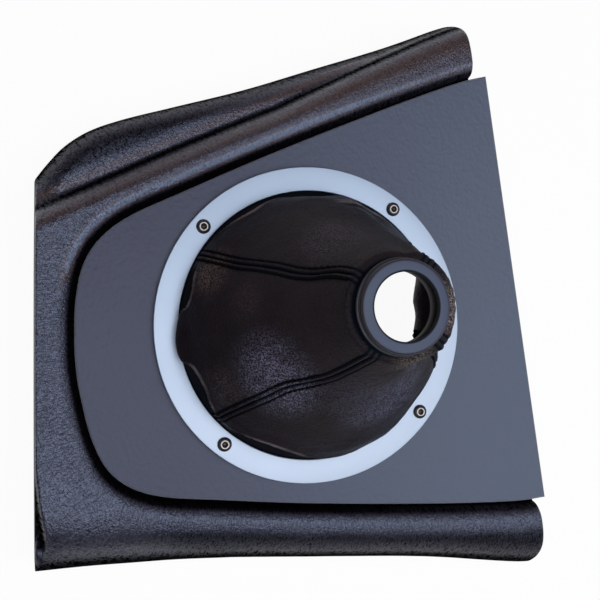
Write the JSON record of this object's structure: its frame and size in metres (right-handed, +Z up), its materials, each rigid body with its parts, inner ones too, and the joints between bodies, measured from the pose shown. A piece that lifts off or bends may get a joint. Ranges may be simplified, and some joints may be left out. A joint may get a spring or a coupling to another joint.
{
  "type": "gear shift surround",
  "caption": "Car console surround with a flat trim plate, a sewn leather shift boot under a screwed metal ring and a round lever collar.",
  "frame": {"origin": "middle of the footprint, on the plane of the moulding's lower rims", "axes": "+Z up from the rims through the boot, +X along the console towards the wide open end of the plate, +Y across the console"},
  "size_m": [0.2522, 0.2836, 0.1379],
  "materials": {
    "grained_plastic": "leather grained, satin",
    "satin_plate": "satin with a fine texture",
    "ring_metal": "matt anodised",
    "boot_leather": "smooth, soft sheen",
    "collar_plastic": "satin",
    "sleeve_plastic": "satin",
    "fastener_steel": "dull zinc"
  },
  "bodies": {
    "root": {"console_shell": "grained_plastic", "trim_plate": "satin_plate", "boot_ring": "ring_metal", "boot_panel_left": "boot_leather", "boot_panel_lower": "boot_leather", "boot_panel_right": "boot_leather", "boot_panel_upper": "boot_leather", "boot_collar": "collar_plastic", "collar_sleeve": "sleeve_plastic", "ring_screw_1": "fastener_steel", "ring_washer_1": "fastener_steel", "ring_nut_1": "fastener_steel", "plate_stud_1": "fastener_steel", "stud_nut_1": "fastener_steel", "ring_screw_2": "fastener_steel", "ring_washer_2": "fastener_steel", "ring_nut_2": "fastener_steel", "plate_stud_2": "fastener_steel", "stud_nut_2": "fastener_steel", "ring_screw_3": "fastener_steel", "ring_washer_3": "fastener_steel", "ring_nut_3": "fastener_steel", "plate_stud_3": "fastener_steel", "stud_nut_3": "fastener_steel", "ring_screw_4": "fastener_steel", "ring_washer_4": "fastener_steel", "ring_nut_4": "fastener_steel", "plate_stud_4": "fastener_steel", "stud_nut_4": "fastener_steel"}
  },
  "joints": []
}
